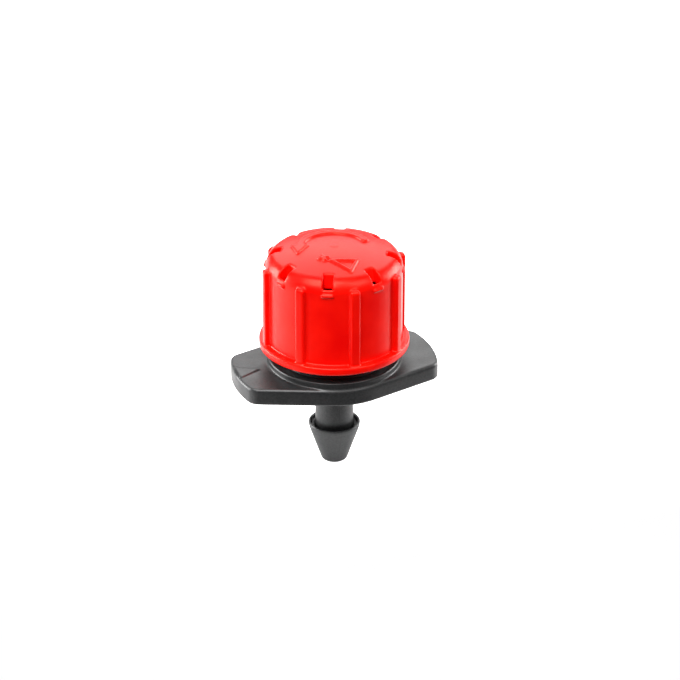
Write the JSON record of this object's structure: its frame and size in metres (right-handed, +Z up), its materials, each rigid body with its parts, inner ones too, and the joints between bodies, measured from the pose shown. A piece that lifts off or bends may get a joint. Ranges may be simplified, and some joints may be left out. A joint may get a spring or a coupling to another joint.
{
  "type": "drip emitter",
  "caption": "Adjustable drip emitter: ribbed screw cap with outlet slots round its crown, on a winged base plate with a threaded post above and a hose barb below.",
  "frame": {"origin": "centre of the wing plate's underside, where the neck enters the pipe wall", "axes": "+Z up through the post and the cap, +X along the wings"},
  "size_m": [0.024, 0.0174, 0.0278],
  "materials": {
    "red_polypropylene": "moulded, semi-gloss",
    "black_polypropylene": "moulded, fine satin grain",
    "seal_rubber": "smooth nitrile rubber"
  },
  "bodies": {
    "base": {"barbed_base": "black_polypropylene"},
    "seal": {"seal_ring": "seal_rubber"},
    "cap": {"adjusting_cap": "red_polypropylene"}
  },
  "joints": [
    {"name": "cap_rise", "type": "slide", "parent": "base", "child": "seal", "axis": [0, 0, 1], "range_m": [-0.0012, 0.0018]},
    {"name": "cap_turn", "type": "hinge", "parent": "seal", "child": "cap", "pos_m": [0, 0, 0], "axis": [0, 0, 1], "range_deg": [-180, 270]}
  ],
  "couplings": [
    {"joint": "cap_turn", "follows": "cap_rise", "rad_per_m": 2618}
  ]
}
